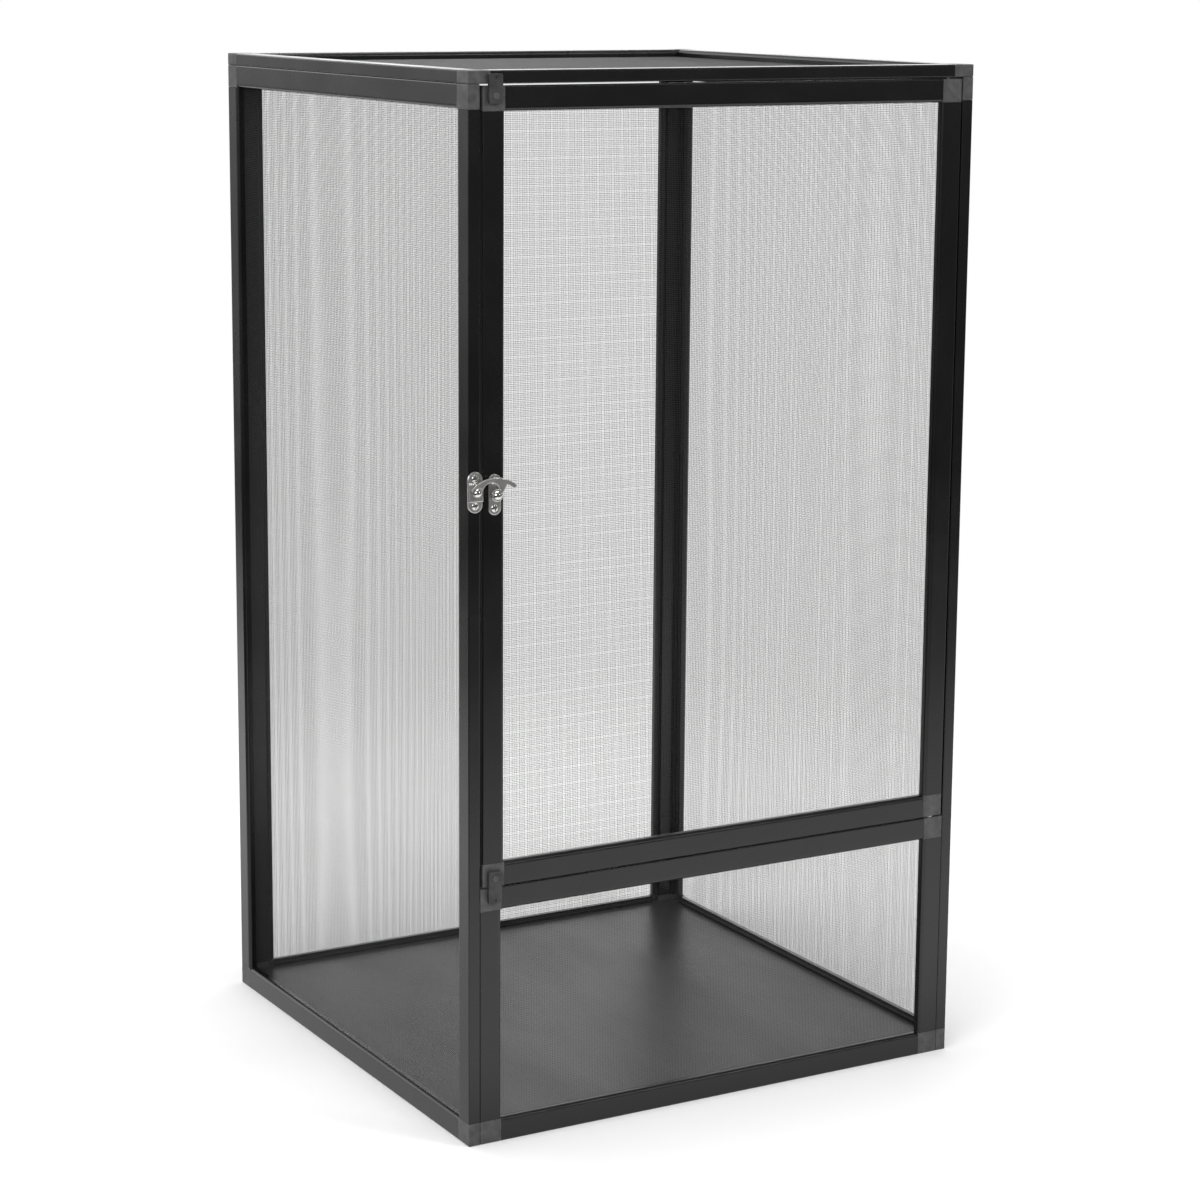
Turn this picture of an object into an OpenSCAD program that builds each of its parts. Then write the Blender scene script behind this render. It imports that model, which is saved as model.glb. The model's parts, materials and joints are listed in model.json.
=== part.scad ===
/* [Cage] */
// Outer width of the cage, left to right
cage_w = 440; // [340:5:600]
// Outer depth of the cage, front to back
cage_d = 430; // [340:5:600]
// Outer height of the cage, lid included
cage_h = 800; // [600:5:1000]
// Height of the fixed lower front panel
lower_h = 200; // [140:5:300]

/* [Frame bars] */
// Width of every frame bar, seen from outside
bar_w = 18; // [17:0.5:24]
// Thickness of every frame bar, and so of every panel
bar_t = 9.5; // [9:0.5:13]
// Wall of the hollow part of a bar
bar_wall = 1.2; // [0.8:0.1:1.5]
// Radius of the rounded outer edges of the bars and the corner blocks
edge_r = 1; // [0.3:0.1:1.2]
// Radius of the rounded edge of a bar beside the screen
inner_edge_r = 3; // [1:0.5:3]
// Width of the flat lip that carries the edge of the screen
lip_w = 2.8; // [2:0.1:3.5]

/* [Screens] */
// Depth of the screen behind the outer face of its panel
screen_depth = 6.2; // [5:0.1:7]
// Thickness of the screen cloth
screen_t = 0.3; // [0.2:0.1:0.5]
// Gap between the edge of the screen and the groove
screen_inset = 0.1; // [0.05:0.05:0.5]
// Pitch of the plain openings in a screen, far wider than the real weave
opening_pitch = 64; // [50:1:80]
// Width of the strips between those openings, which sets the weight of the cloth
strip_w = 4.5; // [3:0.1:8]
// Width of the groove that takes the spline cord
groove_w = 3; // [2.6:0.1:3.4]
// Depth of the groove below the lip
groove_depth = 2.6; // [2:0.1:3]
// Play of the spline cord in its groove, on each side
spline_play = 0.05; // [0.02:0.01:0.1]

/* [Corner blocks] */
// Length of each tongue inside its bar
tongue_l = 24; // [15:1:40]
// Play of a tongue inside its bar, on each side
tongue_play = 0.15; // [0.05:0.05:0.3]
// Width of the hairline left between a block and a bar
joint_line = 0.15; // [0.05:0.05:0.3]

/* [Door] */
// Gap between the door and the left side panel
door_gap_latch = 2.2; // [1:0.1:4]
// Gap between the door and the right side panel
door_gap_hinge = 1.2; // [1:0.1:4]
// Gap between the door and the lid
door_gap_top = 1.4; // [0.8:0.1:3]
// Gap between the door and the lower panel, filled by the washer
door_gap_bottom = 0.7; // [0.6:0.1:2]
// Distance of the hinge axis from the right edge of the door
hinge_inset = 10; // [9:0.5:12]
// Diameter of each hinge pin
hinge_pin_d = 3; // [2.4:0.1:3.4]
// Length of a hinge pin inside the door
hinge_pin_hold = 9; // [6:0.5:11]
// Length of a hinge pin inside the lid's or the lower panel's bore
hinge_pin_reach = 4.5; // [3:0.5:5]
// Radial play of a turning pin in its bore
run_play = 0.05; // [0.02:0.01:0.09]
// Play of a pin where it only passes through a wall, on each side
pass_play = 0.3; // [0.1:0.1:0.5]
// Space left past the blind end of each pin
end_play = 0.3; // [0.2:0.1:1]
// Diameter of the hinge washer
washer_d = 8; // [6:0.5:9]

/* [Floor] */
// Thickness of the floor board
floor_t = 5; // [5:0.5:8]
// Height of the underside of the floor board above the ground
floor_lift = 8; // [0.5:0.5:9]
// Gap between the floor board and the panels
floor_gap = 0.3; // [0.2:0.1:1]
// Diameter of the pins that carry the floor board
floor_pin_d = 3; // [2:0.1:3.4]
// Length of a floor pin on each side of the gap
floor_pin_l = 5; // [3:0.5:7]

/* [Dowels] */
// Diameter of the dowels between the panels
dowel_d = 4; // [3:0.1:4.6]
// Length of a dowel in each of its two panels
dowel_l = 6; // [4:0.5:7]

/* [Latch] */
// Height of the keeper stud on the left side panel
keeper_z = 499; // [300:1:600]
// Drop of the pivot knob below the keeper stud
pivot_drop = 2.7; // [0:0.1:4]
// Thickness of both latch plates
plate_t = 1.5; // [1:0.1:2]
// Width of the keeper plate
keeper_plate_w = 11.5; // [10:0.1:11.6]
// Length of the keeper plate
keeper_plate_l = 30; // [28:0.5:40]
// Width of the pivot plate on the door
pivot_plate_w = 10; // [9:0.1:14]
// Length of the pivot plate on the door
pivot_plate_l = 30; // [28:0.5:40]
// Height of the raised step across the middle of the keeper plate
step_t = 2; // [1:0.1:2.1]
// Length of that step, between the heads of the two screws
step_l = 13.2; // [10:0.1:13.6]
// Distance of each screw from the round end of its plate
screw_inset = 5; // [4.5:0.1:5.5]
// Diameter of a screw's shank
screw_d = 2.4; // [2:0.1:3]
// Diameter of a screw's domed head
screw_head_d = 6; // [4.5:0.1:7]
// Height of a screw's domed head
screw_head_h = 1.2; // [0.8:0.1:1.5]
// Length of a screw below its head, plate included
screw_l = 7; // [4:0.5:8]
// Width of the slot in a screw's head
screw_slot_w = 0.8; // [0.5:0.1:1]
// Diameter of the stud's and the pivot's stem
stem_d = 4; // [3:0.1:4.6]
// Diameter of the collar between a plate and the hook
collar_d = 6; // [5:0.1:7]
// Diameter of the domed knob on the pivot
knob_d = 8.2; // [7:0.1:8.4]
// Height of the domed knob
knob_h = 3.2; // [2:0.1:4]
// Diameter of the domed head of the keeper stud
stud_head_d = 6.6; // [6:0.1:7]
// Height of the domed head of the keeper stud
stud_head_h = 1.8; // [1:0.1:2.5]
// Length of a stem behind the plate
stem_hold = 3; // [2:0.5:5]
// Thickness of the hook
hook_t = 1.8; // [1.2:0.1:2.4]
// Gap between the plates and the back of the hook, wider than the step and a screw's head
hook_stand = 2.4; // [2.3:0.1:2.6]
// Gap between the hook and the knob in front of it
hook_end_play = 0.2; // [0.1:0.1:0.4]
// Gap between the hook's nose and the keeper stud's head
nose_gap = 0.5; // [0.5:0.1:1]
// Width of the hook's nose over the keeper stud's head
nose_w = 1.6; // [1.4:0.1:2.2]
// Angle round the keeper stud at which the nose ends
nose_end = 150; // [120:5:160]
// Diameter of the hook's eye round the pivot
eye_d = 9.2; // [8.8:0.1:11]
// Width of the curved arm that ends in the finger tail
arm_w = 3.4; // [2.8:0.1:3.8]
// Height of the arm's crown above the pivot
crown_h = 13; // [12.6:0.1:13.6]
// Outer radius of the arm's bend
bend_r = 27.8; // [26:0.1:30]
// Angle at which the bend ends in the tail
bend_end = 53; // [50:1:58]
// Radius of the arch in the arm's underside, between the stud and the pivot
arch_r = 7; // [6.6:0.1:7.1]
// Place of the arch's centre, left of the pivot
arch_left = 5; // [4.6:0.1:5.4]
// Height of the arch's centre above the pivot
arch_z = 2.6; // [2.2:0.1:3]
// Radius of the rounded foot between the arch and the nose
foot_r = 0.8; // [0.6:0.1:1]
// Angle on the bend at which the web under the arm begins
web_start = 66; // [62:1:70]
// Angle on the eye at which the web ends
web_eye = 15; // [0:1:25]

/* [Turn tabs] */
// Width of a turn tab
tab_w = 11; // [8:0.5:14]
// Thickness of a turn tab
tab_t = 2.6; // [1.2:0.1:3.5]
// Gap between a turn tab and the faces that it turns over
tab_gap = 0.5; // [0.2:0.1:0.8]
// Reach of the upper tab above the top edge of the door
upper_tab_reach = 8.6; // [6:0.1:10]
// Reach of the lower tab below the bottom edge of the door
lower_tab_reach = 12; // [6:0.5:14]
// Distance of a tab's pin from the edge of the door
tab_pin_inset = 7; // [6:0.5:10]
// Length of a tab behind its pin
tab_heel = 5.4; // [4:0.2:7]
// Radius of the corners of a tab
tab_corner_r = 1; // [0.5:0.1:2]
// Diameter of a tab's pin
tab_pin_d = 3; // [2:0.1:4]
// Diameter of the low head of a tab's pin
tab_head_d = 5; // [4.5:0.1:7]
// Height of the low head of a tab's pin
tab_head_h = 0.6; // [0.4:0.1:1]
// Length of a tab's pin inside the door
tab_pin_l = 6; // [3:0.5:7]
// Diameter of the dimple at a tab's free end
dimple_d = 2.4; // [1:0.1:3]
// Depth of the dimple at a tab's free end
dimple_depth = 0.6; // [0.2:0.1:0.8]

/* [Hidden] */

bar_colour = "#1d1e20";
block_colour = "#3f4144";
screen_colour = "#8d9093";
spline_colour = "#141414";
floor_colour = "#2c2d2f";
plated_colour = "#c9cbcd";
pin_colour = "#a5a8ab";

round_n = 48;
arc_n = 6;
bend_n = 16;
dome_n = 40;
eps = 0.01;
cut = 1;
most_openings = 12;
step_inset = 0.3;

// Sizes that follow from the ones above
side_h = cage_h - bar_t;
inner_w = cage_w - 2 * bar_t;
door_x = bar_t + door_gap_latch;
door_w = inner_w - door_gap_latch - door_gap_hinge;
door_z = lower_h + door_gap_bottom;
door_h = side_h - door_gap_top - door_z;
groove_out = bar_w - lip_w;
groove_in = groove_out - groove_w;
groove_floor = screen_depth - groove_depth;
hollow_w = groove_in - 2 * bar_wall;
hollow_t = bar_t - 2 * bar_wall;
spline_r = groove_w / 2 - spline_play;
hinge_x = door_x + door_w - hinge_inset;
hinge_y = bar_t / 2;
door_mid_x = door_x + bar_w / 2;
keeper_x = bar_t / 2;
pivot_z = keeper_z - pivot_drop;
hook_back = plate_t + hook_stand;
hook_front = hook_back + hook_t;
knob_back = hook_front + hook_end_play;
latch_proud = knob_back + knob_h;
plate_overhang = max(0, keeper_plate_w / 2 - keeper_x);

// The origin is under the middle of the whole outline, latch included
origin_x = -(cage_w - plate_overhang) / 2;
origin_y = -(cage_d - latch_proud) / 2;

module placed() {
    translate([origin_x, origin_y, 0]) children();
}

// Points of an arc, from angle a0 to angle a1
function arc(cx, cy, r, a0, a1, n = arc_n) = [
    for (i = [0 : n])
        let (a = a0 + (a1 - a0) * i / n)
            [cx + r * cos(a), cy + r * sin(a)]
];

// The point at distance r0 from the origin and r1 from [x, y], on the left of the way there
function meeting(x, y, r0, r1) =
    let (
        far = norm([x, y]),
        along = (r0 * r0 + far * far - r1 * r1) / (2 * far),
        across = sqrt(r0 * r0 - along * along)
    ) [(along * x - across * y) / far, (along * y + across * x) / far];

// Section of a bar: x from its outer edge, y from its outer face
module bar_section() {
    difference() {
        polygon(concat(
            arc(edge_r, edge_r, edge_r, 180, 270),
            arc(bar_w - inner_edge_r, inner_edge_r, inner_edge_r, 270, 360),
            [[bar_w, screen_depth], [groove_out, screen_depth]],
            [[groove_out, groove_floor], [groove_in, groove_floor], [groove_in, bar_t]],
            arc(edge_r, bar_t - edge_r, edge_r, 90, 180)
        ));
        translate([bar_wall, bar_wall]) square([hollow_w, hollow_t]);
    }
}

module bar(len) {
    linear_extrude(len) bar_section();
}

// The four bars of a panel that stands in x and z, with its outer face at y = 0
module stile_a(w, h) {
    translate([0, 0, bar_w]) bar(h - 2 * bar_w);
}

module stile_b(w, h) {
    translate([w, 0, 0]) mirror([1, 0, 0]) stile_a(w, h);
}

module rail_a(w, h) {
    translate([w - bar_w, 0, 0]) rotate([0, -90, 0]) bar(w - 2 * bar_w);
}

module rail_b(w, h) {
    translate([0, 0, h]) mirror([0, 0, 1]) rail_a(w, h);
}

// Body of a moulded corner, with its outer edges rounded to run on from the bars
module block_body(body) {
    r = edge_r;
    beside_bar = concat(
        arc(r, r, r, 180, 270), [[body, 0], [body, bar_t]], arc(r, bar_t - r, r, 90, 180)
    );
    intersection() {
        linear_extrude(body) polygon(beside_bar);
        mirror([1, 0, -1]) linear_extrude(body) polygon(beside_bar);
        translate([0, bar_t, 0]) rotate([90, 0, 0]) linear_extrude(bar_t)
            polygon(concat(arc(r, r, r, 180, 270), [[body, 0], [body, body], [0, body]]));
    }
}

// One moulded corner, at the panel's own origin
module corner_block() {
    body = bar_w - joint_line;
    tongue_w = hollow_w - 2 * tongue_play;
    tongue_t = hollow_t - 2 * tongue_play;
    tongue_at = bar_wall + tongue_play;
    seat = body - groove_in + eps;
    difference() {
        union() {
            block_body(body);
            translate([tongue_at, tongue_at, 0]) cube([tongue_w, tongue_t, bar_w + tongue_l]);
            translate([0, tongue_at, tongue_at]) cube([bar_w + tongue_l, tongue_t, tongue_w]);
        }
        translate([groove_in, screen_depth, groove_in]) cube([seat, bar_t, seat]);
        translate([groove_in, groove_floor, groove_in]) cube([groove_w, bar_t, seat]);
        translate([groove_in, groove_floor, groove_in]) cube([seat, bar_t, groove_w]);
    }
}

module corner_blocks(w, h) {
    for (i = [0, 1], j = [0, 1])
        translate([i * w, 0, j * h]) mirror([i, 0, 0]) mirror([0, 0, j]) corner_block();
}

// A sheet with a plain grid of openings, which stands for the woven cloth
module screen(w, h) {
    edge = groove_out + screen_inset;
    sheet = [w - 2 * edge, h - 2 * edge];
    count = [for (side = sheet) min(most_openings, round(side / opening_pitch))];
    pitch = [for (i = [0, 1]) (sheet[i] - strip_w) / count[i]];
    translate([edge, screen_depth, edge]) difference() {
        cube([sheet[0], screen_t, sheet[1]]);
        for (i = [0 : count[0] - 1], j = [0 : count[1] - 1])
            translate([strip_w + i * pitch[0], -cut, strip_w + j * pitch[1]])
                cube([pitch[0] - strip_w, screen_t + 2 * cut, pitch[1] - strip_w]);
    }
}

// One cord pressed into the groove all the way round
module spline(w, h) {
    mid = (groove_in + groove_out) / 2;
    y = groove_floor + spline_r;
    for (x = [mid, w - mid]) translate([x, y, mid]) cylinder(h = h - 2 * mid, r = spline_r, $fn = round_n);
    for (z = [mid, h - mid])
        translate([mid, y, z]) rotate([0, 90, 0]) cylinder(h = w - 2 * mid, r = spline_r, $fn = round_n);
    for (x = [mid, w - mid], z = [mid, h - mid]) translate([x, y, z]) sphere(r = spline_r, $fn = round_n);
}

// Where each panel stands on the cage
module on_left() {
    translate([0, cage_d, 0]) rotate([0, 0, -90]) children();
}

module on_right() {
    translate([cage_w, 0, 0]) rotate([0, 0, 90]) children();
}

module on_rear() {
    translate([cage_w - bar_t, cage_d, 0]) rotate([0, 0, 180]) children();
}

module on_lid() {
    translate([0, 0, cage_h]) rotate([-90, 0, 0]) children();
}

module on_lower() {
    translate([bar_t, 0, 0]) children();
}

module on_door() {
    translate([door_x, 0, door_z]) children();
}

// Dowels, and the same shapes as holes
module lid_dowel_set() {
    for (x = [bar_t / 2, cage_w - bar_t / 2], y = [bar_w / 2, cage_d - bar_w / 2])
        translate([x, y, side_h - dowel_l]) cylinder(h = 2 * dowel_l, d = dowel_d, $fn = round_n);
}

module side_dowel_set(y, height) {
    for (x = [bar_t, cage_w - bar_t], z = [bar_w / 2, height - bar_w / 2])
        translate([x - dowel_l, y, z]) rotate([0, 90, 0])
            cylinder(h = 2 * dowel_l, d = dowel_d, $fn = round_n);
}

module rear_dowel_set() {
    side_dowel_set(cage_d - bar_t / 2, side_h);
}

module lower_dowel_set() {
    side_dowel_set(bar_t / 2, lower_h);
}

module floor_pin_set() {
    reach = floor_pin_l * 2 + floor_gap;
    front_y = bar_t - floor_pin_l;
    rear_y = cage_d - bar_t - floor_pin_l - floor_gap;
    for (x = [bar_t + bar_w / 2, cage_w - bar_t - bar_w / 2], y = [front_y, rear_y])
        translate([x, y, floor_lift + floor_t / 2]) rotate([-90, 0, 0])
            cylinder(h = reach, d = floor_pin_d, $fn = round_n);
}

// The hinge axis, with a play round the pin and at both its ends
module hinge_pin_top(play, ends) {
    low = door_z + door_h - hinge_pin_hold;
    high = side_h + bar_wall + tongue_play + hinge_pin_reach + ends;
    translate([hinge_x, hinge_y, low]) cylinder(h = high - low, r = hinge_pin_d / 2 + play, $fn = round_n);
}

module hinge_pin_bottom(play, ends) {
    low = lower_h - hinge_pin_reach - ends;
    high = door_z + hinge_pin_hold;
    translate([hinge_x, hinge_y, low]) cylinder(h = high - low, r = hinge_pin_d / 2 + play, $fn = round_n);
}

// Screws and stems run along y, into the front of the cage
module along_y(x, z, y0, y1, d) {
    translate([x, y0, z]) rotate([-90, 0, 0]) cylinder(h = y1 - y0, d = d, $fn = round_n);
}

module screw_pair(x, z, plate_l) {
    for (side = [-1, 1])
        translate([x, -plate_t, z + side * (plate_l / 2 - screw_inset)]) children();
}

module screw_shank() {
    rotate([-90, 0, 0]) cylinder(h = screw_l, d = screw_d, $fn = round_n);
}

// A dome towards the front, with its flat side at y = 0
module dome(d, h) {
    ball_r = (d * d / 4 + h * h) / (2 * h);
    rotate([90, 0, 0]) rotate_extrude($fn = round_n)
        intersection() {
            translate([0, h - ball_r]) circle(r = ball_r, $fn = dome_n * 4);
            square([d / 2, h]);
        }
}

// A domed head on its shank, with a straight slot
module screw() {
    screw_shank();
    difference() {
        dome(screw_head_d, screw_head_h);
        translate([-screw_slot_w / 2, -screw_head_h - cut, -screw_head_d])
            cube([screw_slot_w, cut + screw_head_h / 2, screw_head_d * 2]);
    }
}

// An oblong plate with round ends, a raised step across it, two screw holes and a stem hole
module latch_plate(x, z, w, l, step = 0) {
    difference() {
        translate([x, 0, z]) rotate([90, 0, 0]) union() {
            linear_extrude(plate_t) union() {
                square([w, l - w], center = true);
                for (side = [-1, 1]) translate([0, side * (l - w) / 2]) circle(d = w, $fn = round_n);
            }
            if (step > 0) translate([0, 0, plate_t / 2])
                linear_extrude(plate_t / 2 + step) square([w - 2 * step_inset, step_l], center = true);
        }
        screw_pair(x, z, l) screw_shank();
        along_y(x, z, -plate_t - step - cut, cut, stem_d);
    }
}

// Stem with a collar on its seat and a domed head in front of the hook
module knob(x, z, seat, d, h) {
    along_y(x, z, -hook_back, stem_hold, stem_d);
    along_y(x, z, -hook_back, -seat, collar_d);
    along_y(x, z, -knob_back - eps, -hook_back, stem_d);
    translate([x, -knob_back, z]) dome(d, h);
}

// Outline of the hook in x and z, with the pivot at the origin, clockwise from the nose
module hook_outline() {
    stud_x = keeper_x - door_mid_x;
    stud_z = pivot_drop;
    nose_in = stud_head_d / 2 + nose_gap;
    nose_out = nose_in + nose_w;
    nose_mid = nose_in + nose_w / 2;
    nose_x = stud_x + nose_mid * cos(nose_end);
    nose_z = stud_z + nose_mid * sin(nose_end);
    bend_z = crown_h - bend_r;
    bend_x = stud_x + sqrt(pow(bend_r - nose_out, 2) - pow(stud_z - bend_z, 2));
    bend_start = atan2(stud_z - bend_z, stud_x - bend_x);
    tail_x = bend_x + (bend_r - arm_w / 2) * cos(bend_end);
    tail_z = bend_z + (bend_r - arm_w / 2) * sin(bend_end);
    eye_r = eye_d / 2;
    arch_x = -arch_left;
    foot = meeting(arch_x - stud_x, arch_z - stud_z, nose_in + foot_r, arch_r + foot_r);
    foot_x = stud_x + foot[0];
    foot_z = stud_z + foot[1];
    foot_arch = atan2(foot_z - arch_z, foot_x - arch_x);
    foot_stud = atan2(foot[1], foot[0]);
    neck = meeting(-arch_x, -arch_z, arch_r, eye_r);
    neck_arch = atan2(neck[1], neck[0]);
    neck_eye = atan2(arch_z + neck[1], arch_x + neck[0]);
    difference() {
        polygon(concat(
            arc(nose_x, nose_z, nose_w / 2, nose_end + 180, nose_end, bend_n),
            arc(stud_x, stud_z, nose_out, nose_end, bend_start),
            arc(bend_x, bend_z, bend_r, bend_start, bend_end, bend_n),
            arc(tail_x, tail_z, arm_w / 2, bend_end, bend_end - 180, bend_n),
            arc(bend_x, bend_z, bend_r - arm_w, bend_end, web_start),
            arc(0, 0, eye_r, web_eye, neck_eye - 360, round_n),
            arc(arch_x, arch_z, arch_r, neck_arch, foot_arch, bend_n),
            arc(foot_x, foot_z, foot_r, foot_arch - 180, foot_stud - 180, bend_n),
            arc(stud_x, stud_z, nose_in, foot_stud, nose_end, bend_n)
        ));
        circle(d = stem_d + 2 * run_play, $fn = round_n);
    }
}

module tab_outline(reach) {
    low = -tab_heel;
    r = tab_corner_r;
    polygon(concat(
        arc(tab_w / 2 - r, low + r, r, 270, 360),
        arc(tab_w / 2 - r, reach - r, r, 0, 90),
        arc(r - tab_w / 2, reach - r, r, 90, 180),
        arc(r - tab_w / 2, low + r, r, 180, 270)
    ));
}

// A tab that points along +z, with its pin at the origin
module turn_tab(reach) {
    difference() {
        translate([0, -tab_gap, 0]) rotate([90, 0, 0]) linear_extrude(tab_t) tab_outline(reach);
        along_y(0, 0, -tab_t - tab_gap - cut, cut, tab_pin_d + 2 * run_play);
        along_y(0, reach - dimple_d, -tab_t - tab_gap - cut, dimple_depth - tab_t - tab_gap, dimple_d);
    }
}

upper_pin_z = door_z + door_h - tab_pin_inset;
lower_pin_z = door_z + tab_pin_inset;

module tab_pin(z) {
    front = -tab_gap - tab_t;
    along_y(door_mid_x, z, front, tab_pin_l, tab_pin_d);
    along_y(door_mid_x, z, front - tab_head_h, front, tab_head_d);
}

// Left side panel
module left_front_stile() {
    color(bar_colour) placed() difference() {
        on_left() stile_b(cage_d, side_h);
        screw_pair(keeper_x, keeper_z, keeper_plate_l) screw_shank();
        along_y(keeper_x, keeper_z, -cut, stem_hold, stem_d);
        lower_dowel_set();
    }
}
module left_rear_stile() { color(bar_colour) placed() on_left() stile_a(cage_d, side_h); }
module left_top_rail() { color(bar_colour) placed() on_left() rail_b(cage_d, side_h); }
module left_bottom_rail() { color(bar_colour) placed() on_left() rail_a(cage_d, side_h); }
module side_blocks() {
    difference() {
        children();
        lid_dowel_set();
        rear_dowel_set();
        lower_dowel_set();
    }
}
module left_corner_blocks() {
    color(block_colour) placed() side_blocks() on_left() corner_blocks(cage_d, side_h);
}
module left_screen() { color(screen_colour) placed() on_left() screen(cage_d, side_h); }
module left_spline() { color(spline_colour) placed() on_left() spline(cage_d, side_h); }

// Right side panel
module right_front_stile() {
    color(bar_colour) placed() difference() {
        on_right() stile_a(cage_d, side_h);
        lower_dowel_set();
    }
}
module right_rear_stile() { color(bar_colour) placed() on_right() stile_b(cage_d, side_h); }
module right_top_rail() { color(bar_colour) placed() on_right() rail_b(cage_d, side_h); }
module right_bottom_rail() { color(bar_colour) placed() on_right() rail_a(cage_d, side_h); }
module right_corner_blocks() {
    color(block_colour) placed() side_blocks() on_right() corner_blocks(cage_d, side_h);
}
module right_screen() { color(screen_colour) placed() on_right() screen(cage_d, side_h); }
module right_spline() { color(spline_colour) placed() on_right() spline(cage_d, side_h); }

// Rear panel, between the side panels
module rear_left_stile() { color(bar_colour) placed() on_rear() stile_b(inner_w, side_h); }
module rear_right_stile() { color(bar_colour) placed() on_rear() stile_a(inner_w, side_h); }
module rear_top_rail() { color(bar_colour) placed() on_rear() rail_b(inner_w, side_h); }
module rear_bottom_rail() { color(bar_colour) placed() on_rear() rail_a(inner_w, side_h); }
module rear_corner_blocks() {
    color(block_colour) placed() difference() {
        on_rear() corner_blocks(inner_w, side_h);
        rear_dowel_set();
        floor_pin_set();
    }
}
module rear_screen() { color(screen_colour) placed() on_rear() screen(inner_w, side_h); }
module rear_spline() { color(spline_colour) placed() on_rear() spline(inner_w, side_h); }

// Lid, on top of the other panels
module lid_left_bar() { color(bar_colour) placed() on_lid() stile_a(cage_w, cage_d); }
module lid_right_bar() { color(bar_colour) placed() on_lid() stile_b(cage_w, cage_d); }
module lid_front_bar() {
    color(bar_colour) placed() difference() {
        on_lid() rail_a(cage_w, cage_d);
        hinge_pin_top(pass_play, 0);
    }
}
module lid_rear_bar() { color(bar_colour) placed() on_lid() rail_b(cage_w, cage_d); }
module lid_corner_blocks() {
    color(block_colour) placed() difference() {
        on_lid() corner_blocks(cage_w, cage_d);
        lid_dowel_set();
        hinge_pin_top(run_play, end_play);
    }
}
module lid_screen() { color(screen_colour) placed() on_lid() screen(cage_w, cage_d); }
module lid_spline() { color(spline_colour) placed() on_lid() spline(cage_w, cage_d); }

// Lower front panel, fixed between the side panels
module lower_left_stile() { color(bar_colour) placed() on_lower() stile_a(inner_w, lower_h); }
module lower_right_stile() { color(bar_colour) placed() on_lower() stile_b(inner_w, lower_h); }
module lower_top_rail() { color(bar_colour) placed() on_lower() rail_b(inner_w, lower_h); }
module lower_bottom_rail() { color(bar_colour) placed() on_lower() rail_a(inner_w, lower_h); }
module lower_corner_blocks() {
    color(block_colour) placed() difference() {
        on_lower() corner_blocks(inner_w, lower_h);
        lower_dowel_set();
        floor_pin_set();
        hinge_pin_bottom(run_play, end_play);
    }
}
module lower_screen() { color(screen_colour) placed() on_lower() screen(inner_w, lower_h); }
module lower_spline() { color(spline_colour) placed() on_lower() spline(inner_w, lower_h); }

// Door
module door_left_stile() {
    color(bar_colour) placed() difference() {
        on_door() stile_a(door_w, door_h);
        screw_pair(door_mid_x, pivot_z, pivot_plate_l) screw_shank();
        along_y(door_mid_x, pivot_z, -cut, stem_hold, stem_d);
    }
}
module door_right_stile() { color(bar_colour) placed() on_door() stile_b(door_w, door_h); }
module door_top_rail() { color(bar_colour) placed() on_door() rail_b(door_w, door_h); }
module door_bottom_rail() { color(bar_colour) placed() on_door() rail_a(door_w, door_h); }
module door_corner_blocks() {
    color(block_colour) placed() difference() {
        on_door() corner_blocks(door_w, door_h);
        hinge_pin_top(0, 0);
        hinge_pin_bottom(0, 0);
        tab_pin(upper_pin_z);
        tab_pin(lower_pin_z);
    }
}
module door_screen() { color(screen_colour) placed() on_door() screen(door_w, door_h); }
module door_spline() { color(spline_colour) placed() on_door() spline(door_w, door_h); }
module door_hinge_pins() {
    color(pin_colour) placed() {
        hinge_pin_top(0, 0);
        hinge_pin_bottom(0, 0);
    }
}
module door_hinge_washer() {
    color(pin_colour) placed() difference() {
        translate([hinge_x, hinge_y, lower_h]) cylinder(h = door_gap_bottom, d = washer_d, $fn = round_n);
        hinge_pin_bottom(run_play, end_play);
    }
}

// Floor and the hidden pieces that join the panels
module floor_board() {
    color(floor_colour) placed() difference() {
        translate([bar_t + floor_gap, bar_t + floor_gap, floor_lift])
            cube([inner_w - 2 * floor_gap, cage_d - 2 * bar_t - 2 * floor_gap, floor_t]);
        floor_pin_set();
    }
}
module floor_pins() { color(pin_colour) placed() floor_pin_set(); }
module lid_dowels() { color(block_colour) placed() lid_dowel_set(); }
module rear_dowels() { color(block_colour) placed() rear_dowel_set(); }
module lower_dowels() { color(block_colour) placed() lower_dowel_set(); }

// Latch
module keeper_plate() {
    color(plated_colour) placed() latch_plate(keeper_x, keeper_z, keeper_plate_w, keeper_plate_l, step_t);
}
module keeper_screws() {
    color(plated_colour) placed() screw_pair(keeper_x, keeper_z, keeper_plate_l) screw();
}
module keeper_stud() {
    color(plated_colour) placed()
        knob(keeper_x, keeper_z, plate_t + step_t, stud_head_d, stud_head_h);
}
module pivot_plate() {
    color(plated_colour) placed() latch_plate(door_mid_x, pivot_z, pivot_plate_w, pivot_plate_l);
}
module pivot_screws() {
    color(plated_colour) placed() screw_pair(door_mid_x, pivot_z, pivot_plate_l) screw();
}
module pivot_knob() {
    color(plated_colour) placed() knob(door_mid_x, pivot_z, plate_t, knob_d, knob_h);
}
module latch_hook() {
    color(plated_colour) placed() translate([door_mid_x, -hook_back, pivot_z])
        rotate([90, 0, 0]) linear_extrude(hook_t) hook_outline();
}

// Turn tabs on the door
module upper_turn_tab() {
    color(block_colour) placed() translate([door_mid_x, 0, upper_pin_z])
        turn_tab(upper_tab_reach + tab_pin_inset);
}
module lower_turn_tab() {
    color(block_colour) placed() translate([door_mid_x, 0, lower_pin_z])
        rotate([0, 180, 0]) turn_tab(lower_tab_reach + tab_pin_inset);
}
module turn_tab_pins() {
    color(block_colour) placed() {
        tab_pin(upper_pin_z);
        tab_pin(lower_pin_z);
    }
}

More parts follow.
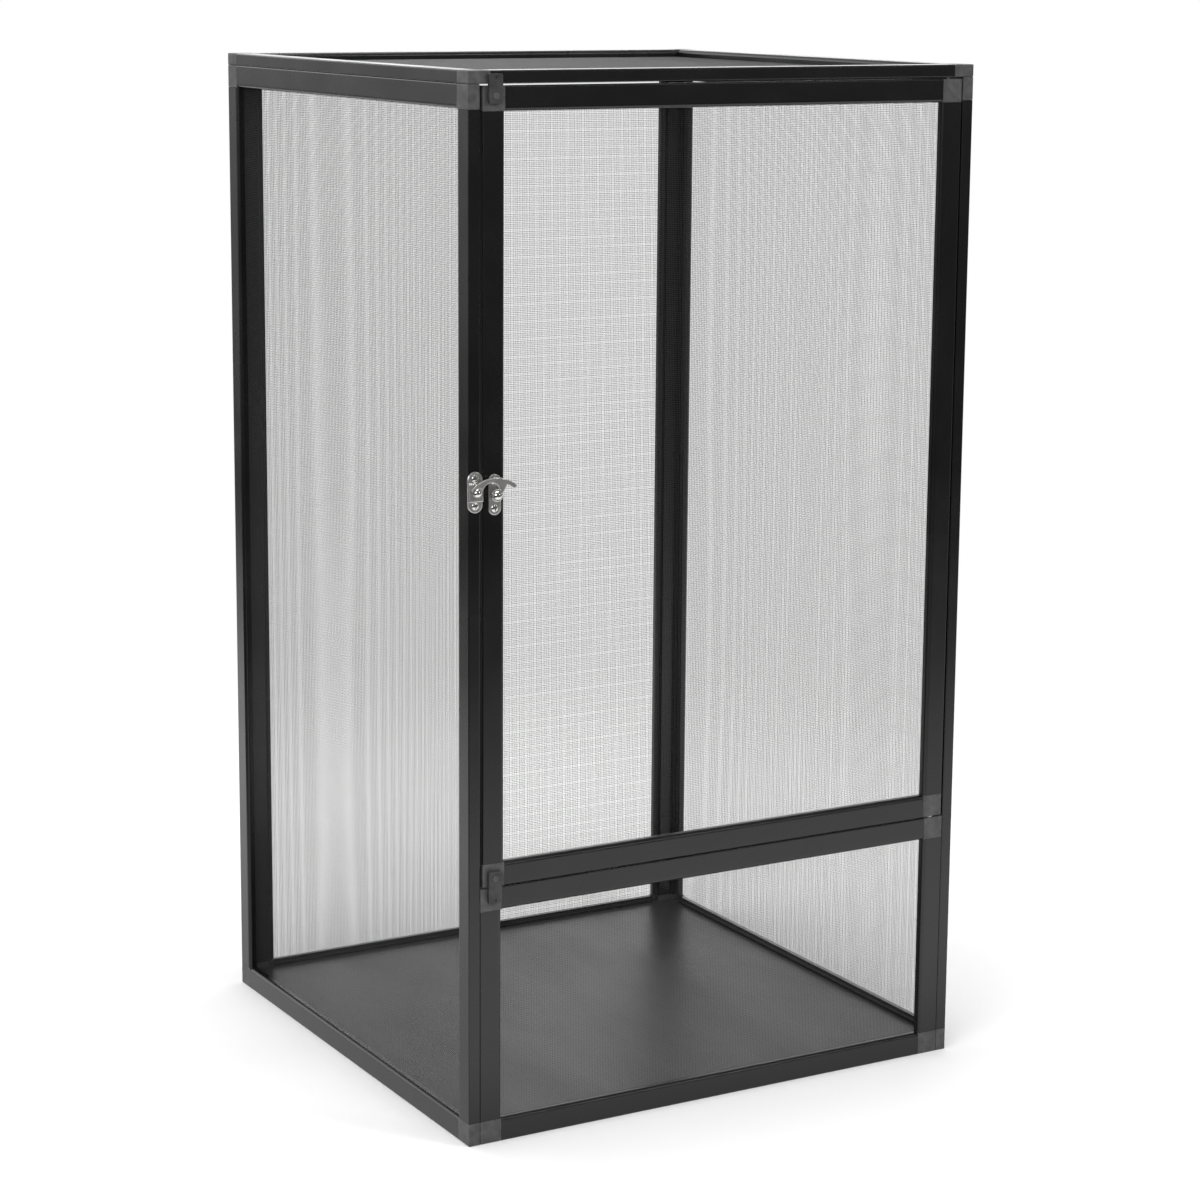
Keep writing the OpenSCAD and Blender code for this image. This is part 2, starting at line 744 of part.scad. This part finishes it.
left_front_stile();
left_rear_stile();
left_top_rail();
left_bottom_rail();
left_corner_blocks();
left_screen();
left_spline();
right_front_stile();
right_rear_stile();
right_top_rail();
right_bottom_rail();
right_corner_blocks();
right_screen();
right_spline();
rear_left_stile();
rear_right_stile();
rear_top_rail();
rear_bottom_rail();
rear_corner_blocks();
rear_screen();
rear_spline();
lid_left_bar();
lid_right_bar();
lid_front_bar();
lid_rear_bar();
lid_corner_blocks();
lid_screen();
lid_spline();
lower_left_stile();
lower_right_stile();
lower_top_rail();
lower_bottom_rail();
lower_corner_blocks();
lower_screen();
lower_spline();
door_left_stile();
door_right_stile();
door_top_rail();
door_bottom_rail();
door_corner_blocks();
door_screen();
door_spline();
door_hinge_pins();
door_hinge_washer();
floor_board();
floor_pins();
lid_dowels();
rear_dowels();
lower_dowels();
keeper_plate();
keeper_screws();
keeper_stud();
pivot_plate();
pivot_screws();
pivot_knob();
latch_hook();
upper_turn_tab();
lower_turn_tab();
turn_tab_pins();
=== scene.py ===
import json
import math
import bpy
from mathutils import Matrix, Vector


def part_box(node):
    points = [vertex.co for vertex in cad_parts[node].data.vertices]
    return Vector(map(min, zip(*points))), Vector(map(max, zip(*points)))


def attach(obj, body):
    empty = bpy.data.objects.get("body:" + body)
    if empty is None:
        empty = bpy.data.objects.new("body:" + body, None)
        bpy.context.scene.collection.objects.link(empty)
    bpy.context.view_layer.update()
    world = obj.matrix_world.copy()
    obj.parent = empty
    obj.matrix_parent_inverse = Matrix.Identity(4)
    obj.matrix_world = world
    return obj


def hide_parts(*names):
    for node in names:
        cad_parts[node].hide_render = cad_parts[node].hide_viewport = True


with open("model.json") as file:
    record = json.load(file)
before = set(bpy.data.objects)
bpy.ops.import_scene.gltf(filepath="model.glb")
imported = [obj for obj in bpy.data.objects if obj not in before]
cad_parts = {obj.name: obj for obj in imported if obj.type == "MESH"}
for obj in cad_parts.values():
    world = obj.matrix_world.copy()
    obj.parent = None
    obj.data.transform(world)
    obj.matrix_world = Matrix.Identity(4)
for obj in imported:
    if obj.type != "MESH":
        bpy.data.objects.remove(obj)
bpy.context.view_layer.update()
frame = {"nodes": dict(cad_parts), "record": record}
scene = bpy.context.scene
scene.view_settings.view_transform = "Standard"
mm = 0.001
print("terrarium: frame loaded")


# Camera: low and far, to the left of the door, with a long lens
camera = {
    "place": (-1.2105, -2.1243, 0.8744),
    "azimuth": 29.90,    # degrees to the right of the door's own direction
    "drop": 10.76,       # degrees below the horizon
    "roll": 0.42,
    "lens": 91.0,
    "shiftY": -0.05,
    "sensor": 36,
    "clip": (0.05, 60),
}


def placeCamera(c):
    lens = bpy.data.cameras.new("studioCamera")
    lens.lens = c["lens"]
    lens.sensor_width = c["sensor"]
    lens.shift_y = c["shiftY"]
    lens.clip_start, lens.clip_end = c["clip"]
    azimuth, drop, roll = (math.radians(c[k]) for k in ("azimuth", "drop", "roll"))
    ahead = Vector((
        math.sin(azimuth) * math.cos(drop), math.cos(azimuth) * math.cos(drop), -math.sin(drop)))
    level = Vector((math.cos(azimuth), -math.sin(azimuth), 0))
    upright = level.cross(ahead)
    right = level * math.cos(roll) + upright * math.sin(roll)
    up = upright * math.cos(roll) - level * math.sin(roll)
    body = bpy.data.objects.new("studioCamera", lens)
    turn = Matrix((right, up, -ahead)).transposed().to_4x4()
    body.matrix_world = Matrix.Translation(c["place"]) @ turn
    scene.collection.objects.link(body)
    scene.camera = body


placeCamera(camera)


# Materials
def linearColour(hexCode):
    parts = [int(hexCode[i:i + 2], 16) / 255 for i in (1, 3, 5)]
    return [p / 12.92 if p <= 0.04045 else ((p + 0.055) / 1.055) ** 2.4 for p in parts] + [1]


def addNode(tree, kind, settings=None, inputs=None):
    # An input takes a plain value, or the output of another node
    node = tree.nodes.new(kind)
    for name, value in (settings or {}).items():
        setattr(node, name, value)
    for name, value in (inputs or {}).items():
        if isinstance(value, bpy.types.NodeSocket):
            tree.links.new(value, node.inputs[name])
        else:
            node.inputs[name].default_value = value
    return node


def emptyMaterial(name):
    material = bpy.data.materials.new(name)
    material.use_nodes = True
    material.node_tree.nodes.clear()
    return material, material.node_tree


def addNoise(tree, place, size, detail, **more):
    # Noise whose largest features are about one size across
    return addNode(tree, "ShaderNodeTexNoise", inputs={
        "Vector": place, "Scale": 1 / size, "Detail": detail, **more}).outputs["Fac"]


def blendColours(tree, factor, colours):
    mix = addNode(tree, "ShaderNodeMix", {"data_type": "RGBA"}, {"Factor": factor})
    mix.inputs[6].default_value = linearColour(colours[0])
    mix.inputs[7].default_value = linearColour(colours[1])
    return mix.outputs[2]


def spreadGloss(tree, noise, span, roughness):
    return addNode(tree, "ShaderNodeMapRange", inputs={
        "Value": noise, "From Min": span[0], "From Max": span[1],
        "To Min": roughness[0], "To Max": roughness[1]}).outputs["Result"]


def finishSurface(tree, shaderInputs):
    shader = addNode(tree, "ShaderNodeBsdfPrincipled", inputs=shaderInputs)
    addNode(tree, "ShaderNodeOutputMaterial", inputs={"Surface": shader.outputs["BSDF"]})


# Powder coated extrusion: near black, satin, with a fine orange peel that softens reflections
powderCoat = {
    "colours": ("#0a0a0a", "#101010"),
    "roughness": (0.22, 0.29),
    "noiseSpan": (0.3, 0.7),
    "peelSize": 1.4 * mm,
    "peelHeight": 0.006 * mm,
    "patchSize": 45 * mm,
}


def makePowderCoat(p):
    material, tree = emptyMaterial("powderCoatedAluminium")
    place = addNode(tree, "ShaderNodeTexCoord").outputs["Object"]
    patches = addNoise(tree, place, p["patchSize"], 3)
    peel = addNoise(tree, place, p["peelSize"], 1)
    bump = addNode(tree, "ShaderNodeBump", inputs={
        "Height": peel, "Distance": p["peelHeight"], "Strength": 1})
    finishSurface(tree, {
        "Base Color": blendColours(tree, patches, p["colours"]),
        "Roughness": spreadGloss(tree, patches, p["noiseSpan"], p["roughness"]),
        "Normal": bump.outputs["Normal"]})
    return material


# Moulded ABS, self coloured: dull grey, mottled where the melt met, with a fine spark eroded grain
mouldedAbs = {
    "name": "mouldedAbs",
    "colours": ("#363636", "#4f4f4f"),
    "roughness": 0.52,
    "mottleSize": 7 * mm,
    "mottleSpan": (0.32, 0.68),
    "grainSize": 0.7 * mm,     # real grain is 0.1 mm, drawn coarser so that it shows
    "grainHeight": 0.012 * mm,
    "edgeRadius": 0.45 * mm,
}
# The turn tabs are darker than the blocks, with a coarser grain: both fitted
tabAbs = dict(
    mouldedAbs, name="mouldedDarkAbs", colours=("#222222", "#3b3b3b"), grainHeight=0.025 * mm)


def makeMouldedAbs(p):
    material, tree = emptyMaterial(p["name"])
    place = addNode(tree, "ShaderNodeTexCoord").outputs["Object"]
    mottle = addNoise(tree, place, p["mottleSize"], 4, Roughness=0.6)
    grain = addNoise(tree, place, p["grainSize"], 2)
    spread = addNode(tree, "ShaderNodeMapRange", inputs={
        "Value": mottle, "From Min": p["mottleSpan"][0], "From Max": p["mottleSpan"][1]})
    edge = addNode(tree, "ShaderNodeBevel", {"samples": 4}, {"Radius": p["edgeRadius"]})
    bump = addNode(tree, "ShaderNodeBump", inputs={
        "Height": grain, "Distance": p["grainHeight"], "Normal": edge.outputs["Normal"]})
    finishSurface(tree, {
        "Base Color": blendColours(tree, spread.outputs["Result"], p["colours"]),
        "Roughness": p["roughness"], "Normal": bump.outputs["Normal"]})
    return material


# Woven aluminium wire, coated grey: each wire is dull, and the cloth reads as a light veil
screenWire = {
    "name": "wovenAluminiumWire", "colour": "#3c3c3c", "roughness": 0.6, "specular": 0.1}
# The lid's cloth is the same wire drawn lighter, as painted light from the lamp above, and glossier
# than the others: fitted
lidWirePaintedLighter = dict(screenWire, name="wovenLidWirePaintedLighter", colour="#505050", roughness=0.45, specular=0.5)


def makeScreenWire(p):
    material, tree = emptyMaterial(p["name"])
    finishSurface(tree, {
        "Base Color": linearColour(p["colour"]), "Roughness": p["roughness"],
        "Specular IOR Level": p["specular"]})
    return material


# Extruded soft PVC cord: dead black, with a fine unevenness from the die
splineCord = {"colour": "#121212", "roughness": 0.62, "ringSize": 0.9 * mm, "ringHeight": 0.05 * mm}


def makeSplineCord(p):
    material, tree = emptyMaterial("extrudedPvcCord")
    place = addNode(tree, "ShaderNodeTexCoord").outputs["Object"]
    rings = addNoise(tree, place, p["ringSize"], 1)
    bump = addNode(tree, "ShaderNodeBump", inputs={"Height": rings, "Distance": p["ringHeight"]})
    finishSurface(tree, {
        "Base Color": linearColour(p["colour"]), "Roughness": p["roughness"],
        "Normal": bump.outputs["Normal"]})
    return material


# Calendered PVC sheet: smooth dark floor with a semi-gloss skin that blurs what it reflects
floorSheet = {
    "colours": ("#232323", "#2b2b2b"),
    "roughness": (0.33, 0.42),
    "noiseSpan": (0.3, 0.7),
    "rollSize": 60 * mm,
    "drawnOut": 0.35,        # the rolls stretch its pattern from front to back
    "waveSize": 14 * mm,
    "waveHeight": 0.02 * mm,
}


def makeFloorSheet(p):
    material, tree = emptyMaterial("calenderedPvcSheet")
    place = addNode(tree, "ShaderNodeTexCoord").outputs["Object"]
    drawn = addNode(tree, "ShaderNodeMapping", inputs={
        "Vector": place, "Scale": (1, p["drawnOut"], 1)}).outputs["Vector"]
    roll = addNoise(tree, drawn, p["rollSize"], 5, Roughness=0.6)
    wave = addNoise(tree, drawn, p["waveSize"], 3)
    bump = addNode(tree, "ShaderNodeBump", inputs={"Height": wave, "Distance": p["waveHeight"]})
    finishSurface(tree, {
        "Base Color": blendColours(tree, roll, p["colours"]),
        "Roughness": spreadGloss(tree, roll, p["noiseSpan"], p["roughness"]),
        "Normal": bump.outputs["Normal"]})
    return material


# Nickel plated zinc casting: bright and slightly warm, with a barely wavy polish
nickelPlate = {
    "name": "nickelPlatedZinc",
    "colour": "#d4d3d1",
    "roughness": (0.13, 0.2),
    "waveSize": 2.5 * mm,
    "waveHeight": 0.02 * mm,
    "edgeRadius": 0.35 * mm,
}
# The plates and the hook are duller than the turned heads, with rounder edges
tumbledPlate = dict(
    nickelPlate, name="tumbledNickelPlate", roughness=(0.26, 0.4), waveSize=3 * mm,
    waveHeight=0.06 * mm, edgeRadius=0.9 * mm)


def makeNickelPlate(p):
    material, tree = emptyMaterial(p["name"])
    place = addNode(tree, "ShaderNodeTexCoord").outputs["Object"]
    wave = addNoise(tree, place, p["waveSize"], 2)
    edge = addNode(tree, "ShaderNodeBevel", {"samples": 8}, {"Radius": p["edgeRadius"]})
    bump = addNode(tree, "ShaderNodeBump", inputs={
        "Height": wave, "Distance": p["waveHeight"], "Normal": edge.outputs["Normal"]})
    finishSurface(tree, {
        "Base Color": linearColour(p["colour"]), "Metallic": 1,
        "Roughness": spreadGloss(tree, wave, (0, 1), p["roughness"]),
        "Normal": bump.outputs["Normal"]})
    return material


# Bright drawn steel wire, for the pins and the washer
drawnSteel = {"colour": "#a3a5a7", "roughness": 0.3}


def makeDrawnSteel(p):
    material, tree = emptyMaterial("drawnSteelWire")
    finishSurface(tree, {
        "Base Color": linearColour(p["colour"]), "Metallic": 1, "Roughness": p["roughness"]})
    return material


finishes = {
    "bars": makePowderCoat(powderCoat),
    "mouldings": makeMouldedAbs(mouldedAbs),
    "screen": makeScreenWire(screenWire),
    "spline": makeSplineCord(splineCord),
    "floor": makeFloorSheet(floorSheet),
    "plated": makeNickelPlate(nickelPlate),
    "pins": makeDrawnSteel(drawnSteel),
}
finishes["dowels"] = finishes["mouldings"]
slotOfNode = {s["node"]: s["material_slot"] for s in frame["record"]["subparts"]}
darkAbs = makeMouldedAbs(tabAbs)
# The lid's wire finish is drawn lighter than the other screens: painted light from above
lidFinishPaintedLighter = makeScreenWire(lidWirePaintedLighter)
tumbledFinish = makeNickelPlate(tumbledPlate)
castings = ("keeper_plate", "pivot_plate", "latch_hook")
for name, node in frame["nodes"].items():
    finish = finishes[slotOfNode[name]]
    if name.endswith("turn_tab"):
        finish = darkAbs
    elif name in castings:
        finish = tumbledFinish
    for place in node.material_slots:
        place.material = finish
print("terrarium: materials made")


# Screens: two layers of crossing wires in place of each flat sheet
weave = {
    "pitch": 1.41 * mm,      # 18 wires to the inch, an assumed cloth
    "wire": 0.163 * mm,      # fitted, for how light the cloth looks
    "sides": 6,
    "steps": 5,
    "sway": 0.25 * mm,       # wires out of true, to break up the moire
    "swaySize": 130 * mm,
    "sway2": 0.6,            # a second, longer wave that also runs along the wire
    "swayTurn": 5,
}
panels = {
    "left": "cage", "right": "cage", "rear": "cage", "lid": "cage", "lower": "cage", "door": "door"}


def swayOf(u, v, width, phase, w):
    # u runs along the wire from 0 to 1, v is the wire's place across the cloth
    wave = 2 * math.pi * v / w["swaySize"]
    edge = math.sin(math.pi * u) * math.sin(math.pi * v / width)
    second = w["sway2"] * math.sin(w["sway2"] * wave + w["swayTurn"] * u + 2 * phase)
    return w["sway"] * edge * (math.sin(wave + phase) + second)


def addWires(points, faces, start, along, across, out, length, count, phase, w):
    # One layer of side by side wires: each is a closed prism with w["sides"] sides
    sides = w["sides"]
    angles = [2 * math.pi * i / sides for i in range(sides)]
    ring = [(math.cos(a), math.sin(a)) for a in angles]
    for n in range(count):
        first = len(points)
        for step in range(w["steps"] + 1):
            u = step / w["steps"]
            v = n * w["pitch"]
            centre = start + along * (length * u)
            centre += across * (v + swayOf(u, v, (count - 1) * w["pitch"], phase, w))
            for c, s in ring:
                points.append(centre + across * (c * w["wire"] / 2) + out * (s * w["wire"] / 2))
        for step in range(w["steps"]):
            a = first + step * sides
            for i in range(sides):
                j = (i + 1) % sides
                faces.append((a + i, a + j, a + sides + j, a + sides + i))
        last = first + w["steps"] * sides
        faces.append(tuple(first + i for i in reversed(range(sides))))
        faces.append(tuple(last + i for i in range(sides)))


def weaveScreen(panel, body, phase, w):
    low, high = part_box(panel + "_screen")
    size = high - low
    thin = min(range(3), key=lambda i: size[i])
    wide, tall = [i for i in range(3) if i != thin]
    axis = [Vector((i == 0, i == 1, i == 2)) for i in range(3)]
    middle = (low + high) / 2
    layer = (size[thin] - w["wire"]) / 2
    points, faces = [], []
    for along, across, side in ((wide, tall, 1), (tall, wide, -1)):
        count = int((size[across] - w["wire"]) / w["pitch"]) + 1
        start = middle - axis[along] * (size[along] / 2) + axis[thin] * (side * layer)
        start -= axis[across] * ((count - 1) * w["pitch"] / 2)
        addWires(
            points, faces, start, axis[along], axis[across], axis[thin], size[along], count,
            phase + side, w)
    mesh = bpy.data.meshes.new(panel + "Cloth")
    mesh.from_pydata(points, [], faces)
    # The lid's cloth takes the wire drawn lighter, as painted light from above
    mesh.materials.append(lidFinishPaintedLighter if panel == "lid" else finishes["screen"])
    for face in mesh.polygons:
        face.use_smooth = len(face.vertices) == 4
    cloth = bpy.data.objects.new(panel + "Cloth", mesh)
    scene.collection.objects.link(cloth)
    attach(cloth, body)
    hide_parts(panel + "_screen")
    print("terrarium:", panel, "screen of", len(faces), "faces")


for phase, (panel, body) in enumerate(panels.items()):
    weaveScreen(panel, body, phase, weave)


# Studio: a pale board under the cage, a sky and soft lamps. What gloss shows of board and sky
# has levels of its own, fitted: a dim room in front, a bright wall behind
studio = {
    "floorSpan": 30,
    "pale": "#f6f6f6",
    "fadeToWhite": (0.7, 1.6),      # metres from the cage's middle, for the camera alone
    "boardLeft": (-0.98, -0.62),    # where the bright board fades in, as gloss shows it
    "boardFront": (-1.85, -0.65),
    "boardTurn": (-0.4, -0.2),
    "boardNear": (1.35, 0.76),      # its level in front of the cage, and beside it
    "boardRise": (-0.1, 1.2),
    "boardBehind": 0.72,            # how much brighter it gets towards the back
    "backRise": (0.1, 0.9),
    "backRight": (-0.5, 0.4),
    "backLevel": 1.3,               # behind on the right, all the way to the wall
    "dimEdge": (2.9, 5.6),
    "dimTurn": (-0.5, 0.5),
    "dimFront": (0.04, 0.14),
    "dimBehind": (0.07, 0.4),
    "worldLevel": 0.5,
    "roomFront": 0.15,
    "roomTurn": (-0.3, 0.35),       # these and the next as coordinates on a unit sphere
    "wallFoot": (-0.01, 0.06),
    "wallTop": (0.34, 0.47),
    "underWall": 0.5,
    "wallLevel": 2.1,
    "ceilingLevel": 0.5,
}
lamps = {
    "overhead": {"place": (-0.2, 0.1, 3.0), "aim": (0, 0, 0), "size": 2.2, "power": 75},
    "fill": {"place": (-2.6, -2.0, 1.8), "aim": (0, 0, 0.4), "size": 1.8, "power": 40},
    "key": {"place": (1.5, -2.4, 1.9), "aim": (0, -0.2, 0.45), "size": 0.4, "power": 18},
}


def addLamp(name, p):
    light = bpy.data.lights.new(name, "AREA")
    light.size = p["size"]
    light.energy = p["power"]
    lamp = bpy.data.objects.new(name, light)
    lamp.location = p["place"]
    beam = Vector(p["aim"]) - Vector(p["place"])
    lamp.rotation_euler = beam.to_track_quat("-Z", "Y").to_euler()
    lamp.visible_camera = False
    scene.collection.objects.link(lamp)


def ramp(tree, value, span, levels):
    # A smooth step from one level to another: each may be a number or a socket
    return addNode(tree, "ShaderNodeMapRange", {"interpolation_type": "SMOOTHSTEP"}, {
        "Value": value, "From Min": span[0], "From Max": span[1],
        "To Min": levels[0], "To Max": levels[1]}).outputs["Result"]


def combine(tree, operation, first, second):
    return addNode(tree, "ShaderNodeMath", {"operation": operation}, {0: first, 1: second}).outputs[0]


def addWorld(p):
    world = bpy.data.worlds.new("studioRoom")
    scene.world = world
    world.use_nodes = True
    tree = world.node_tree
    tree.nodes.clear()
    path = addNode(tree, "ShaderNodeLightPath").outputs
    direction = addNode(tree, "ShaderNodeTexCoord").outputs["Generated"]
    parts = addNode(tree, "ShaderNodeSeparateXYZ", inputs={"Vector": direction}).outputs
    foot = ramp(tree, parts["Z"], p["wallFoot"], (p["underWall"], p["wallLevel"]))
    wall = ramp(tree, parts["Z"], p["wallTop"], (foot, p["ceilingLevel"]))
    room = ramp(tree, parts["Y"], p["roomTurn"], (p["roomFront"], wall))
    glossy = addNode(tree, "ShaderNodeMix", inputs={
        "Factor": path["Is Glossy Ray"], "A": p["worldLevel"], "B": room}).outputs["Result"]
    seen = combine(tree, "MAXIMUM", path["Is Camera Ray"], path["Is Transmission Ray"])
    level = addNode(tree, "ShaderNodeMix", inputs={
        "Factor": seen, "A": glossy, "B": 1.0}).outputs["Result"]
    sky = addNode(tree, "ShaderNodeBackground", inputs={"Color": (1, 1, 1, 1), "Strength": level})
    addNode(tree, "ShaderNodeOutputWorld", inputs={"Surface": sky.outputs["Background"]})


def makeSweep(p):
    # Pale painted board: takes the cage's shadow, and turns to plain white away from it
    material, tree = emptyMaterial("paintedBoard")
    path = addNode(tree, "ShaderNodeLightPath").outputs
    place = addNode(tree, "ShaderNodeTexCoord").outputs["Object"]
    away = addNode(tree, "ShaderNodeVectorMath", {"operation": "LENGTH"}, {0: place}).outputs["Value"]
    across, along, _ = addNode(tree, "ShaderNodeSeparateXYZ", inputs={"Vector": place}).outputs
    fromLeft = ramp(tree, across, p["boardLeft"], (0.0, 1.0))
    fromFront = ramp(tree, along, p["boardFront"], (0.0, 1.0))
    near = ramp(tree, along, p["boardTurn"], p["boardNear"])
    further = ramp(tree, along, p["boardRise"], (0.0, p["boardBehind"]))
    board = combine(tree, "MULTIPLY", fromLeft, fromFront)
    board = combine(tree, "MULTIPLY", board, combine(tree, "ADD", near, further))
    dimFront = ramp(tree, away, p["dimEdge"], p["dimFront"])
    dimBehind = ramp(tree, away, p["dimEdge"], p["dimBehind"])
    dim = ramp(tree, along, p["dimTurn"], (dimFront, dimBehind))
    behind = ramp(tree, along, p["backRise"], (0.0, p["backLevel"]))
    rightward = ramp(tree, across, p["backRight"], (0.0, behind))
    level = combine(tree, "MAXIMUM", combine(tree, "MAXIMUM", board, rightward), dim)
    fade = ramp(tree, away, p["fadeToWhite"], (0.0, 1.0))
    cameraSees = combine(tree, "MULTIPLY", path["Is Camera Ray"], fade)
    paint = addNode(tree, "ShaderNodeBsdfDiffuse", inputs={"Color": linearColour(p["pale"])}).outputs[0]
    white = addNode(tree, "ShaderNodeEmission", inputs={"Strength": 1.0}).outputs[0]
    mirrored = addNode(tree, "ShaderNodeEmission", inputs={"Strength": level}).outputs[0]
    shown = addNode(tree, "ShaderNodeMixShader", inputs={0: cameraSees, 1: paint, 2: white}).outputs[0]
    whole = addNode(tree, "ShaderNodeMixShader", inputs={
        0: path["Is Glossy Ray"], 1: shown, 2: mirrored})
    addNode(tree, "ShaderNodeOutputMaterial", inputs={"Surface": whole.outputs[0]})
    return material


def addFloor(p):
    half = p["floorSpan"] / 2
    mesh = bpy.data.meshes.new("studioFloor")
    corners = [(-half, -half, 0), (half, -half, 0), (half, half, 0), (-half, half, 0)]
    mesh.from_pydata(corners, [], [(0, 1, 2, 3)])
    mesh.materials.append(makeSweep(p))
    floor = bpy.data.objects.new("studioFloor", mesh)
    scene.collection.objects.link(floor)


for name, p in lamps.items():
    addLamp(name, p)
addWorld(studio)
addFloor(studio)
print("terrarium: studio lit")
